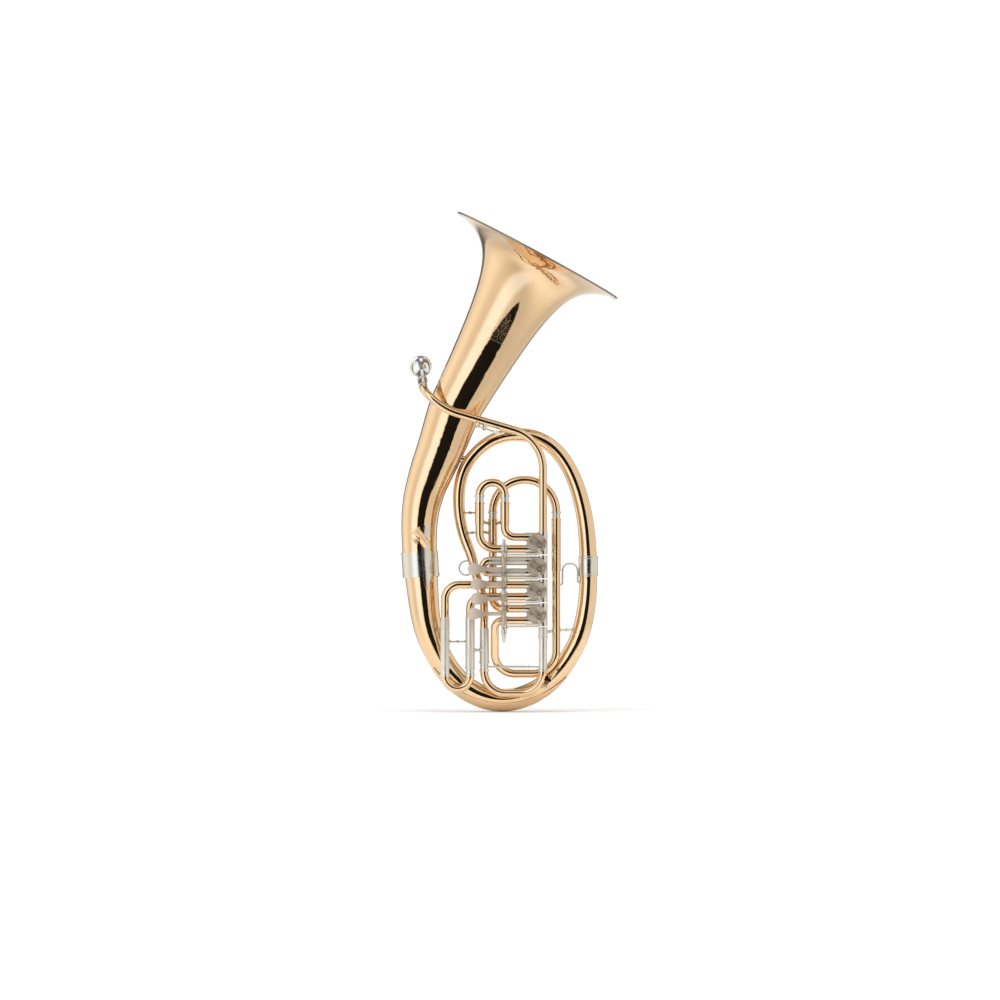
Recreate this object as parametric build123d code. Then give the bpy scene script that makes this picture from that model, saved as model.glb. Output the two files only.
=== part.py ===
"""Oval baritone horn with four rotary valves, built as an assembly of separate pieces.

Frame: millimetres, +Z up, +Y towards the player, -Y towards the lever side.  The origin is the
lowest point of the bottom bow.  The conical main tube lies in the plane y = 0, the valves and
their slides lie in a parallel plane in front of it, and the fourth valve loop lies between them.
"""
import os
from math import cos, radians, sin, sqrt

from build123d import *

# Main conical tube -------------------------------------------------------------------------
WALL = 0.9                       # sheet thickness of the conical tube
RIM_CENTRE = (57.8, 752.4)       # x, z of the bell rim's centre
BELL_AXIS = (0.476, 0.8795)      # x, z direction from the stack out of the bell
FLARE_LENGTH = 272.0             # straight part of the bell, along its axis
FLARE_BASE = 40.4                # bell radius = base - slope * s + flare / (s + shift) ** power
FLARE_SLOPE = 0.0337
FLARE_SIZE = 743.0
FLARE_SHIFT = 15.4
FLARE_POWER = 0.708
RIM_BEAD = 1.7                   # radius of the rolled rim wire
RIM_SLOT = 1.1                   # slot in the wired edge that takes the sheet

# x, y, z and outside diameter, from the bell's straight part down to the first ferrule
STACK = [
    (-95.0, 0.0, 453.0, 81.4),
    (-113.4, 0.0, 405.0, 74.2),
    (-127.2, 0.0, 367.0, 66.8),
    (-135.2, 0.0, 329.0, 61.8),
    (-137.2, 0.0, 291.0, 58.6),
    (-135.6, 0.0, 246.0, 56.0),
]
BOW = [
    (-135.6, 0.0, 246.0, 56.0),
    (-131.6, 0.0, 200.0, 52.0),
    (-125.5, 0.0, 150.0, 47.2),
    (-108.0, 0.0, 98.0, 42.8),
    (-77.0, 0.0, 53.5, 39.4),
    (-40.0, 0.0, 28.0, 37.8),
    (0.0, 0.0, 19.5, 37.0),
    (42.0, 0.0, 28.0, 35.6),
    (80.0, 0.0, 52.0, 33.2),
    (108.0, 0.0, 86.0, 31.4),
    (128.5, 0.0, 128.0, 30.4),
    (139.2, 0.0, 178.0, 29.6),
    (141.7, 0.0, 240.0, 29.0),
]
BRANCH = [
    (141.7, 0.0, 240.0, 29.0),
    (140.3, 0.0, 277.0, 28.2),
    (137.0, 0.0, 311.0, 27.2),
    (129.5, 0.0, 349.0, 26.0),
    (112.0, 0.0, 397.0, 24.6),
    (87.0, 0.0, 432.0, 23.8),
    (56.0, 0.0, 451.5, 23.2),
    (25.0, 0.0, 457.0, 22.4),
    (-2.0, 0.0, 453.5, 21.2),
    (-24.0, 0.0, 443.5, 20.2),
    (-42.0, 0.0, 429.0, 19.8),
    (-58.0, 0.0, 409.0, 19.6),
    (-67.0, 0.0, 388.0, 19.6),
    (-71.8, 0.0, 356.0, 19.4),
    (-69.6, 0.0, 318.0, 18.6),
    (-62.0, -1.5, 286.0, 17.8),
    (-51.0, -6.5, 256.0, 16.6),
    (-45.2, -13.0, 233.0, 15.4),
    (-38.5, -18.0, 210.0, 14.6),
    (-32.4, -20.6, 189.0, 14.0),
    (-29.9, -24.0, 165.0, 13.6),
    (-29.9, -26.0, 138.0, 13.4),
]
FERRULE_WALL = 1.5
BELL_FERRULE_HALF = 21.0         # half length of the ferrule between bell and bow
BRANCH_FERRULE_HALF = 17.0
GUARD_THICKNESS = 1.0

# Cylindrical tubing ------------------------------------------------------------------------
TUBE_OD = 13.4
TUBE_ID = 12.0
SLIDE_FIT = 0.05                 # radial clearance of every running fit
SLEEVE_ID = TUBE_OD + 2 * SLIDE_FIT
SLEEVE_OD = 15.0
BAND_OD = 16.6                   # rolled band at a sleeve's open end, and crook ferrules
BAND_LENGTH = 3.0
COLLAR_LENGTH = 3.0              # where a sleeve is soldered to its tube
VALVE_PLANE = -36.0              # y of the valve tubing
LOOP_PLANE = -18.0               # y of the fourth valve loop

# Valves ------------------------------------------------------------------------------------
VALVE_X = 56.8
VALVE_PITCH = 39.3
VALVE_TOP = 278.4
VALVE_Z = [VALVE_TOP - VALVE_PITCH * index for index in range(4)]
PORT_OFFSET = 9.8
PORT_X = VALVE_X + PORT_OFFSET
STUB_REACH = 18.8                # from the valve axis to the end of a port stub
ROTOR_RADIUS = 13.9
CASING_RADIUS = 15.6
CASING_FRONT = -52.0
CASING_BACK = -20.0
PLATE_THICKNESS = 3.0
PLATE_FRONT = CASING_FRONT - PLATE_THICKNESS
CAP_THICKNESS = 5.0
SPINDLE_RADIUS = 3.6
STOP_ARM_BACK = PLATE_FRONT - 0.6
STOP_ARM_THICKNESS = 2.8
STOP_ARM_FRONT = STOP_ARM_BACK - STOP_ARM_THICKNESS
CRANK_RADIUS = 5.5
CRANK_PIN = 1.3
STOP_REACH = 12.4
STOP_HALF_WIDTH = 3.2
CORK_RADIUS = 2.4
CORK_CIRCLE = 10.6
CORK_ANGLES = (168.6, 11.4)
LINK_TRAVEL = CRANK_RADIUS * sqrt(2.0)

# Levers ------------------------------------------------------------------------------------
AXLE_X = 2.4
AXLE_Y = -51.5
AXLE_RADIUS = 2.2
HUB_RADIUS = 4.2
LEVER_SWING = 18.0
LEVER_ARM = LINK_TRAVEL / (2 * sin(radians(LEVER_SWING / 2)))
PADDLE_Z = [235.7, 211.0, 186.9, 162.4]
PADDLE_TIP = [-57.0, -52.0, -52.0, -57.0]
PADDLE_RADIUS = 10.0
PADDLE_THICKNESS = 2.4
LINK_DROP = 19.0
LINK_ROD = 1.5
LINK_EYE_Y = STOP_ARM_FRONT - 3.4
LINK_PIN_X = AXLE_X + LINK_TRAVEL / 2
LINK_PIN_Y = AXLE_Y - LEVER_ARM * cos(radians(LEVER_SWING / 2))
AXLE_TOP = 276.0
AXLE_BOTTOM = 135.0
SPRING_SPANS = [(224.9, 230.9), (200.6, 206.2), (172.0, 176.0), (167.2, 171.2)]
SPRING_OD = 8.2
SPRING_ID = 5.4

# Slides ------------------------------------------------------------------------------------
SLIDE_1_X = (-37.6, 3.9)
SLIDE_1_SLEEVE = (308.0, 345.0)
SLIDE_1_CROOK = 357.0
SLIDE_2_SLEEVE = (VALVE_X - STUB_REACH, -16.0)
SLIDE_2_CROOK = -22.0
RING_CENTRE = (-59.5, VALVE_PLANE, 237.0)
RING_RADIUS = 11.6
RING_WIRE = 1.3
SLIDE_3_X = (-94.4, -53.2)
SLIDE_3_SLEEVE = (156.0, 71.0)
SLIDE_3_CROOK = 59.0
SLIDE_4_X = (-15.9, 88.5)
SLIDE_4_SLEEVE = 318.0
SLIDE_4_CROOK = 330.0
LOOP_BOTTOM = 63.0
MAIN_X = (-29.9, PORT_X)
MAIN_Y = (-26.0, VALVE_PLANE)
MAIN_SLEEVE_TOP = (138.0, 140.5)
MAIN_SLEEVE_END = (80.0, 122.0)
MAIN_CROOK = 67.0
MAIN_BOTTOM = 30.9
MAIN_CORNER = 35.5

# Leadpipe and mouthpiece -------------------------------------------------------------------
RECEIVER_MOUTH = Vector(-132.2, 2.0, 547.5)
RECEIVER_AXIS = Vector(-0.05, 0.937, 0.345).normalized()
RECEIVER_LENGTH = 36.0
SHANK_DEPTH = 22.0
MOUTHPIECE_LENGTH = 94.0
LEADPIPE_OD = 13.0
LEADPIPE_ID = 11.6
LEADPIPE_REACH = 22.0            # from the receiver to the corner of the first bend
LEADPIPE_CORNER = Vector(-95.0, -56.5, 497.5)
LEADPIPE_SHOULDER = Vector(PORT_X, VALVE_PLANE, 450.0)
LEADPIPE_RADII = [29.0, 90.0, 66.0]

# Water keys and fittings -------------------------------------------------------------------
KEY_PIVOT_X = 13.0               # pivot distance from the nipple, along the tube
KEY_PIVOT_RISE = 5.0
KEY_PIN_RADIUS = 0.8
NIPPLE_BORE = 1.6
KEY_CORNER_ANGLE = 32.0          # place of the main slide's key round its corner
KEY_SEAT_SHARE = 0.3465          # place of the leadpipe's key along its straight run
KEY_SEAT_FACING = Vector(-0.25, -0.4, -0.88)
STAY_RADIUS = 1.5
STAY_FOOT = 3.4
STAY_BEAD = 2.4
HOOK_WIRE = 1.5
LYRE_CENTRE = Vector(-133.0, -40.8, 287.0)
LYRE_MOUTH = Vector(-0.62, 0, 0.785)
LYRE_ACROSS = Vector(0.785, 0, 0.62)
LYRE_LENGTH = 34.0
LYRE_WIDTH = 10.0
LYRE_CORNER = 6.6                # from the socket's axis to a rounded corner
LYRE_BORE = 2.8
LYRE_SCREW = 1.8
SIDE_PLATE_X = -124.0
SIDE_PLATE_Z = (199.0, 307.0)
SIDE_PLATE_WIDTH = 13.0
SIDE_PLATE_GAP = 3.6             # clears the ferrule that it passes over


def save(name, *pieces):
    """Write one node: a single solid, or a group of separate solids."""
    solids = [solid for piece in pieces for solid in piece.solids()]
    shape = solids[0] if len(solids) == 1 else Compound(children=solids)
    shape.label = name
    export_step(shape, os.path.join("parts", name + ".step"))


# Tubes -------------------------------------------------------------------------------------
def blend(fraction, marks, values):
    """Straight-line interpolation of values given at rising marks."""
    for index in range(1, len(marks)):
        if fraction <= marks[index]:
            share = (fraction - marks[index - 1]) / (marks[index] - marks[index - 1])
            return values[index - 1] + share * (values[index] - values[index - 1])
    return values[-1]


def horn(stations, tangents, grow=0.0, sections=20):
    """Solid conical tube through stations of x, y, z and outside diameter."""
    points = [Vector(*station[:3]) for station in stations]
    path = Spline(*points, tangents=tangents)
    runs = [0.0]
    for first, second in zip(points, points[1:]):
        runs.append(runs[-1] + (second - first).length)
    marks = [run / runs[-1] for run in runs]
    radii = [station[3] / 2 + grow for station in stations]
    rings = []
    for index in range(sections + 1):
        fraction = index / sections
        along = path % fraction
        across = Vector(0, 1, 0) - along * along.Y
        ring = Plane(origin=path @ fraction, x_dir=across, z_dir=along)
        rings.append(ring * Circle(blend(fraction, marks, radii)))
    return loft(rings)


def tube(path, outer=TUBE_OD, inner=TUBE_ID):
    """Hollow tube of constant size along a path of lines and arcs."""
    start = Plane(origin=path @ 0, z_dir=path % 0)
    return sweep(start * (Circle(outer / 2) - Circle(inner / 2)), path=path)


def rod(path, radius):
    """Solid round rod along a path."""
    return sweep(Plane(origin=path @ 0, z_dir=path % 0) * Circle(radius), path=path)


def bar(first, last, radius):
    """Straight round rod between two points."""
    first = Vector(*first)
    last = Vector(*last)
    base = Plane(origin=first, z_dir=last - first)
    return extrude(base * Circle(radius), amount=(last - first).length)


def pipe(first, last, outer, inner):
    """Straight hollow tube between two points."""
    return bar(first, last, outer / 2) - bar(first, last, inner / 2)


def sleeve(first, last):
    """Outer slide tube: collar at its soldered end (first), rolled band at its open end (last)."""
    first = Vector(*first)
    last = Vector(*last)
    along = (last - first).normalized()
    bored = pipe(first, last, SLEEVE_OD, TUBE_ID)
    bored += pipe(last - along * BAND_LENGTH, last, BAND_OD, TUBE_ID)
    return bored - bar(first + along * COLLAR_LENGTH, last, SLEEVE_ID / 2)


def leg(crook_end, inside_end):
    """Inner slide tube with the ferrule that joins it to its crook."""
    crook_end = Vector(*crook_end)
    inside_end = Vector(*inside_end)
    along = (inside_end - crook_end).normalized()
    ferrule = pipe(crook_end, crook_end + along * BAND_LENGTH, BAND_OD, TUBE_ID)
    return pipe(crook_end, inside_end, TUBE_OD, TUBE_ID) + ferrule


def disc(x, z, radius, front, back):
    """Cylinder along Y between two y values."""
    return bar((x, front, z), (x, back, z), radius)


def flare_radius(s):
    return FLARE_BASE - FLARE_SLOPE * s + FLARE_SIZE / (s + FLARE_SHIFT) ** FLARE_POWER


# Main tube ---------------------------------------------------------------------------------
def bell_flare():
    """Straight part of the bell: a thin shell of revolution about its tilted axis."""
    steps = [0, 3, 8, 16, 28, 46, 74, 116, 180, 230, FLARE_LENGTH]
    outer = [(flare_radius(s), -s) for s in steps]
    inner = []
    for s in steps:
        slope = (flare_radius(s + 0.1) - flare_radius(s)) / 0.1
        length = sqrt(1 + slope * slope)
        inner.append((flare_radius(s) - WALL / length, -s + WALL * slope / length))
    inner[-1] = (flare_radius(FLARE_LENGTH) - WALL, -FLARE_LENGTH)
    edges = [
        Spline(*[Vector(x, y) for x, y in outer]),
        Line(outer[-1], inner[-1]),
        Spline(*[Vector(x, y) for x, y in reversed(inner)]),
        Line(inner[0], outer[0]),
    ]
    profile = make_face(Plane.XZ * Wire(edges))
    shell = revolve(profile, axis=Axis.Z)
    return bell_place() * shell


def bell_place():
    """Location of the rim's centre with its local Z out of the bell."""
    origin = (RIM_CENTRE[0], 0, RIM_CENTRE[1])
    return Plane(origin=origin, x_dir=(0, 1, 0), z_dir=(BELL_AXIS[0], 0, BELL_AXIS[1])).location


BELL_OUT = Vector(BELL_AXIS[0], 0, BELL_AXIS[1])
JOINT_DOWN = Vector(0.06, 0, -0.998)
STACK_TOP = Vector(RIM_CENTRE[0], 0, RIM_CENTRE[1]) - BELL_OUT * FLARE_LENGTH
STACK.insert(0, (STACK_TOP.X, 0.0, STACK_TOP.Z, 2 * flare_radius(FLARE_LENGTH)))
STACK_ENDS = (-BELL_OUT, JOINT_DOWN)
BOW_ENDS = (JOINT_DOWN, Vector(0, 0, 1))
BRANCH_ENDS = (Vector(0, 0, 1), Vector(0, 0, -1))


def build_main_tube():
    stack_outside = horn(STACK, STACK_ENDS, sections=14)
    bow_outside = horn(BOW, BOW_ENDS, sections=28)
    branch_outside = horn(BRANCH, BRANCH_ENDS, sections=52)
    stack = stack_outside - horn(STACK, STACK_ENDS, grow=-WALL, sections=14)
    bow = bow_outside - horn(BOW, BOW_ENDS, grow=-WALL, sections=28)
    branch = branch_outside - horn(BRANCH, BRANCH_ENDS, grow=-0.75, sections=52)
    save("bell", bell_flare() + stack)
    save("bottom_bow", bow)
    save("main_branch", branch)

    rim = flare_radius(0) + RIM_BEAD - 0.4
    wire = Pos(rim, 0) * Circle(RIM_BEAD) - Pos(rim - RIM_BEAD, 0) * Rectangle(2 * RIM_BEAD, RIM_SLOT)
    save("bell_rim_bead", bell_place() * revolve(Plane.XZ * wire, axis=Axis.Z))

    joint = Vector(*STACK[-1][:3]) + JOINT_DOWN * 3
    reach = JOINT_DOWN * BELL_FERRULE_HALF
    band = bar(joint - reach, joint + reach, STACK[-1][3] / 2 + FERRULE_WALL + 0.6)
    save("bell_ferrule", band - stack_outside - bow_outside)

    joint = Vector(*BRANCH[0][:3])
    reach = Vector(0, 0, BRANCH_FERRULE_HALF)
    band = bar(joint - reach, joint + reach, BRANCH[0][3] / 2 + FERRULE_WALL)
    save("branch_ferrule", band - bow_outside - branch_outside)

    inner_edge = Spline((-113, 73), (-72, 35), (0, 14), (60, 27), (106, 58))
    rest = Polyline((106, 58), (120, 36), (120, -20), (-130, -20), (-130, 46), (-113, 73))
    outline = make_face(Plane.XZ * Wire([inner_edge, *rest.edges()]))
    region = extrude(outline, amount=60, both=True)
    skin = horn(BOW, BOW_ENDS, grow=GUARD_THICKNESS, sections=28)
    save("bow_guard", (skin & region) - bow_outside)
    return stack_outside, bow_outside, branch_outside


RECEIVER_FOOT = RECEIVER_MOUTH - RECEIVER_AXIS * RECEIVER_LENGTH
LEADPIPE_BEND = RECEIVER_FOOT - RECEIVER_AXIS * LEADPIPE_REACH


def leadpipe_path():
    end = (PORT_X, VALVE_PLANE, VALVE_TOP + STUB_REACH)
    corners = [RECEIVER_FOOT, LEADPIPE_BEND, LEADPIPE_CORNER, LEADPIPE_SHOULDER, end]
    return FilletPolyline(*corners, radius=LEADPIPE_RADII)


def build_leadpipe():
    path = leadpipe_path()
    run = LEADPIPE_SHOULDER - LEADPIPE_CORNER
    along = run.normalized()
    facing = (KEY_SEAT_FACING - along * KEY_SEAT_FACING.dot(along)).normalized()
    seat = Plane(origin=LEADPIPE_CORNER + run * KEY_SEAT_SHARE, x_dir=along, z_dir=facing)
    saddle, key = water_key(seat, LEADPIPE_OD / 2)
    pipe_solid = tube(path, LEADPIPE_OD, LEADPIPE_ID)
    pipe_solid -= seat.location * bar((0, 0, 0), (0, 0, 12), NIPPLE_BORE)
    save("leadpipe", pipe_solid)
    save("leadpipe_key_saddle", saddle - rod(path, LEADPIPE_OD / 2), key_pin(seat, LEADPIPE_OD / 2))
    save("leadpipe_water_key", key)

    place = Plane(origin=RECEIVER_FOOT, z_dir=RECEIVER_AXIS)
    outline = [
        (5.1, 0), (6.2, 0), (7.3, 2), (7.3, 4), (6.9, 5), (7.6, 27), (8.4, 28), (8.4, 30.5),
        (7.8, 31.5), (8.5, 33), (8.5, 35), (8.0, RECEIVER_LENGTH), (6.40, RECEIVER_LENGTH),
        (5.85, RECEIVER_LENGTH - SHANK_DEPTH), (5.1, RECEIVER_LENGTH - SHANK_DEPTH - 1),
    ]
    receiver = revolve(make_face(Plane.XZ * Polyline(*outline, close=True)), axis=Axis.Z)
    save("mouthpiece_receiver", place.location * receiver)


def build_mouthpiece():
    """Silver mouthpiece; local z = 0 at the shank's end, rising to the rim."""
    top = MOUTHPIECE_LENGTH
    shank = 5.85 - SLIDE_FIT
    outside = [
        Line((shank, 0), (6.35, SHANK_DEPTH)),
        Line((6.35, SHANK_DEPTH), (7.3, 52)),
        Spline((7.3, 52), (8.6, 57), (12.6, 66), (15.2, 78), (16.2, 86)),
        Line((16.2, 86), (17.6, 87)),
        ThreePointArc((17.6, 87), (18.75, 90.4), (15.6, top)),
        Line((15.6, top), (14.6, top)),
        ThreePointArc((14.6, top), (13.2, top - 0.9), (12.8, top - 2.4)),
        Spline((12.8, top - 2.4), (12.2, top - 12), (8.6, top - 25), (3.6, top - 34)),
        Line((3.6, top - 34), (3.6, top - 40)),
        Line((3.6, top - 40), (4.9, 0)),
        Line((4.9, 0), (shank, 0)),
    ]
    body = revolve(make_face(Plane.XZ * Wire(outside)), axis=Axis.Z)
    origin = RECEIVER_MOUTH - RECEIVER_AXIS * SHANK_DEPTH
    save("mouthpiece", Plane(origin=origin, z_dir=RECEIVER_AXIS).location * body)


# Valves ------------------------------------------------------------------------------------
def port_lines(z):
    """End points of the four port stubs of the valve at height z, as (start, end) pairs."""
    upper = z + PORT_OFFSET
    lower = z - PORT_OFFSET
    y = VALVE_PLANE
    return [
        ((PORT_X, y, z), (PORT_X, y, z + STUB_REACH)),
        ((PORT_X, y, z), (PORT_X, y, z - STUB_REACH)),
        ((VALVE_X, y, upper), (VALVE_X - STUB_REACH, y, upper)),
        ((VALVE_X, y, lower), (VALVE_X - STUB_REACH, y, lower)),
    ]


def build_casing(number, z):
    body = disc(VALVE_X, z, CASING_RADIUS, CASING_FRONT, CASING_BACK)
    for start, end in port_lines(z):
        body += bar(start, end, SLEEVE_OD / 2)
    for start, end in port_lines(z):
        body -= bar(start, end, TUBE_ID / 2)
    body -= disc(VALVE_X, z, ROTOR_RADIUS + SLIDE_FIT, CASING_FRONT, CASING_BACK)
    save(f"valve_casing_{number}", body)


def build_rotor(number, z):
    """Rotor with two side passages and its spindle."""
    body = disc(VALVE_X, z, ROTOR_RADIUS, CASING_FRONT + 0.3, CASING_BACK - 0.3)
    for side in (-PORT_OFFSET, PORT_OFFSET):
        low = (VALVE_X + side, VALVE_PLANE, z - CASING_RADIUS)
        high = (VALVE_X + side, VALVE_PLANE, z + CASING_RADIUS)
        body -= bar(low, high, TUBE_ID / 2)
    body += disc(VALVE_X, z, SPINDLE_RADIUS, STOP_ARM_BACK, CASING_FRONT + 1)
    body += disc(VALVE_X, z, SPINDLE_RADIUS, CASING_BACK - 1, CASING_BACK + 2.5)
    save(f"rotor_{number}", body)


def corner(x, z, radius, degrees, y):
    """Point at an angle from +X towards +Z on a circle about a valve axis."""
    return Vector(x + radius * cos(radians(degrees)), y, z + radius * sin(radians(degrees)))


def build_bearing_plate(z):
    """Front plate that carries the spindle, with a raised rim and two cork seats."""
    plate = disc(VALVE_X, z, CASING_RADIUS + 0.2, PLATE_FRONT, CASING_FRONT)
    plate += disc(VALVE_X, z, 13.2, PLATE_FRONT - 0.4, PLATE_FRONT)
    for degrees in CORK_ANGLES:
        seat = corner(VALVE_X, z, CORK_CIRCLE, degrees, PLATE_FRONT - 1.4)
        plate += bar(seat, seat + Vector(0, 2, 0), CORK_RADIUS + 0.7)
    return plate - disc(VALVE_X, z, SPINDLE_RADIUS + SLIDE_FIT, PLATE_FRONT - 2, CASING_FRONT)


def build_back_cap(z):
    """Screwed back cap with a milled edge, holding the rear bearing."""
    cap = disc(VALVE_X, z, CASING_RADIUS + 1.0, CASING_BACK, CASING_BACK + CAP_THICKNESS)
    cap = fillet(cap.edges().group_by(Axis.Y)[-1], 1.2)
    cap += disc(VALVE_X, z, 6.0, CASING_BACK + CAP_THICKNESS, CASING_BACK + CAP_THICKNESS + 1.5)
    socket = SPINDLE_RADIUS + SLIDE_FIT
    return cap - disc(VALVE_X, z, socket, CASING_BACK, CASING_BACK + 2.8)


def build_corks(z):
    corks = []
    for degrees in CORK_ANGLES:
        seat = corner(VALVE_X, z, CORK_CIRCLE, degrees, PLATE_FRONT - 1.4)
        corks.append(bar(seat, seat - Vector(0, 3.2, 0), CORK_RADIUS))
    return corks


def build_stop_arm(number, z):
    """Stop arm with its crank pin and hub screw; the stop wing lies opposite the pin."""
    front = STOP_ARM_FRONT
    arm = disc(VALVE_X, z, 5.0, front, STOP_ARM_BACK)
    pin = corner(VALVE_X, z, CRANK_RADIUS, -45, front)
    arm += bar(pin, pin + Vector(0, STOP_ARM_THICKNESS, 0), 3.0)
    flank = sqrt(STOP_REACH ** 2 - STOP_HALF_WIDTH ** 2)
    edges = [
        Line((0, STOP_HALF_WIDTH), (flank, STOP_HALF_WIDTH)),
        ThreePointArc((flank, STOP_HALF_WIDTH), (STOP_REACH, 0), (flank, -STOP_HALF_WIDTH)),
        Line((flank, -STOP_HALF_WIDTH), (0, -STOP_HALF_WIDTH)),
        Line((0, -STOP_HALF_WIDTH), (0, STOP_HALF_WIDTH)),
    ]
    wing = make_face(Plane.XZ * Wire(edges))
    wing = extrude(wing, amount=-STOP_ARM_THICKNESS)
    turned = Rot(0, -135, 0) * wing
    arm += Pos(VALVE_X, front, z) * turned
    arm += bar(pin, pin - Vector(0, 5.4, 0), CRANK_PIN)
    arm += bar(pin - Vector(0, 5.4, 0), pin - Vector(0, 6.4, 0), 2.3)
    screw = disc(VALVE_X, z, 2.9, front - 2.0, front)
    screw -= Pos(VALVE_X, front - 2.0, z) * Box(7, 1.4, 0.8)
    save(f"stop_arm_{number}", arm, screw)


def build_link(number, z):
    """Connecting rod: slotted eye on the crank pin, drop, long rod, eye on the lever pin."""
    crank = corner(VALVE_X, z, CRANK_RADIUS, -45, LINK_EYE_Y)
    rod_z = z - LINK_DROP
    dip = CRANK_RADIUS * (1 - cos(radians(45)))
    thick = 2.2
    slot_width = 2 * (CRANK_PIN + 0.45)
    eye_origin = (crank.X, LINK_EYE_Y - thick / 2, crank.Z - dip / 2)
    front = Plane(origin=eye_origin, x_dir=(1, 0, 0), z_dir=(0, 1, 0))
    outer = SlotOverall(2 * (CRANK_PIN + 2.3) + dip, 2 * (CRANK_PIN + 2.3), rotation=90)
    inner = SlotOverall(slot_width + dip, slot_width, rotation=90)
    eye = extrude(front * (outer - inner), amount=thick)

    low = Vector(crank.X, LINK_EYE_Y, crank.Z - dip - CRANK_PIN - 1.8)
    elbow = Vector(crank.X, LINK_EYE_Y, rod_z)
    lever_pin = Vector(LINK_PIN_X, LINK_PIN_Y, rod_z)
    reach = (elbow - lever_pin).normalized()
    path = FilletPolyline(low, elbow, lever_pin + reach * 3.0, radius=5.0)
    link = rod(path, LINK_ROD) + eye
    depth = LEVER_ARM * (1 - cos(radians(LEVER_SWING / 2)))
    base = Plane(origin=(lever_pin.X, lever_pin.Y - depth / 2, rod_z - thick / 2))
    outer = SlotOverall(2 * 3.6 + depth, 2 * 3.6, rotation=90)
    inner = SlotOverall(2 * (CRANK_PIN + 0.3) + depth, 2 * (CRANK_PIN + 0.3), rotation=90)
    link += extrude(base * outer, amount=thick)
    link -= extrude(base * inner, amount=thick)
    link -= bar(lever_pin - Vector(0, 0, 4), lever_pin + Vector(0, 0, 4), CRANK_PIN + 0.3)
    save(f"link_{number}", link)


# Levers ------------------------------------------------------------------------------------
def build_lever(number, paddle_z, tip_x, link_z):
    """Finger lever: hub tube on the axle, curved paddle to the left, crank arm to the front."""
    low, high = hub_span(paddle_z, link_z)
    hub = bar((AXLE_X, AXLE_Y, low), (AXLE_X, AXLE_Y, high), HUB_RADIUS)

    root = (AXLE_X - 2.0, AXLE_Y - 2.0)
    middle = (AXLE_X - 24.0, -66.6)
    tip = (tip_x, -64.0)
    back = ThreePointArc(root, middle, tip)
    near = ThreePointArc(
        (root[0], root[1] - PADDLE_THICKNESS),
        (middle[0], middle[1] - PADDLE_THICKNESS),
        (tip[0], tip[1] - PADDLE_THICKNESS),
    )
    plan = make_face(Wire([back, Line(back @ 1, near @ 1), near, Line(near @ 0, back @ 0)]))
    strip = extrude(Pos(0, 0, paddle_z - PADDLE_RADIUS) * plan, amount=2 * PADDLE_RADIUS)

    centre_x = tip_x + PADDLE_RADIUS
    neck = 3.2
    shoulder = centre_x + 22.0
    outline = Wire([
        ThreePointArc(
            (centre_x + 2, PADDLE_RADIUS - 0.3), (tip_x, 0), (centre_x + 2, -PADDLE_RADIUS + 0.3)
        ),
        Spline((centre_x + 2, -PADDLE_RADIUS + 0.3), (centre_x + 12, -6.0), (shoulder, -neck)),
        Line((shoulder, -neck), (AXLE_X, -neck)),
        Line((AXLE_X, -neck), (AXLE_X, neck)),
        Line((AXLE_X, neck), (shoulder, neck)),
        Spline((shoulder, neck), (centre_x + 12, 6.0), (centre_x + 2, PADDLE_RADIUS - 0.3)),
    ])
    shape = extrude(make_face(Plane.XZ * outline), amount=90)
    paddle = strip & (Pos(0, 0, paddle_z) * shape)

    arm_top = link_z - 1.5
    pin = Vector(LINK_PIN_X, LINK_PIN_Y, arm_top)
    along = pin - Vector(AXLE_X, AXLE_Y, arm_top)
    flat = Plane(origin=(AXLE_X, AXLE_Y, arm_top - 2.6), x_dir=along, z_dir=(0, 0, 1))
    arm_face = flat * (Pos(LEVER_ARM / 2, 0) * Rectangle(LEVER_ARM, 5.0))
    arm = extrude(arm_face, amount=2.6)
    arm += bar(pin - Vector(0, 0, 2.6), pin, 3.2)
    arm += bar(pin, pin + Vector(0, 0, 3.4), CRANK_PIN)
    arm += bar(pin + Vector(0, 0, 3.4), pin + Vector(0, 0, 4.4), 2.4)
    bore = bar((AXLE_X, AXLE_Y, low), (AXLE_X, AXLE_Y, high), AXLE_RADIUS + SLIDE_FIT)
    save(f"lever_{number}", hub + paddle + arm - bore)


def hub_span(paddle_z, link_z):
    """Lowest and highest z of a lever's hub."""
    return min(paddle_z, link_z) - 4.5, max(paddle_z, link_z) + 4.5


def build_axle():
    axle = bar((AXLE_X, AXLE_Y, AXLE_BOTTOM - 6), (AXLE_X, AXLE_Y, AXLE_TOP), AXLE_RADIUS)
    top = [(0, 0), (3.4, 0), (3.4, 1.6), (2.2, 3.0), (2.9, 5.0), (2.4, 7.6), (0, 9.0)]
    foot = [(0, 0), (4.0, 0), (4.0, 1.4), (3.0, 3.0), (3.6, 5.0), (2.3, 12.0), (2.4, 14.0), (0, 15.0)]
    head = revolve(make_face(Plane.XZ * Polyline(*top, close=True)), axis=Axis.Z)
    tail = revolve(make_face(Plane.XZ * Polyline(*foot, close=True)), axis=Axis.Z)
    axle += Pos(AXLE_X, AXLE_Y, AXLE_TOP) * head
    axle += Pos(AXLE_X, AXLE_Y, AXLE_BOTTOM - 5.3) * Rot(180, 0, 0) * tail
    save("lever_axle", axle)


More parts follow.
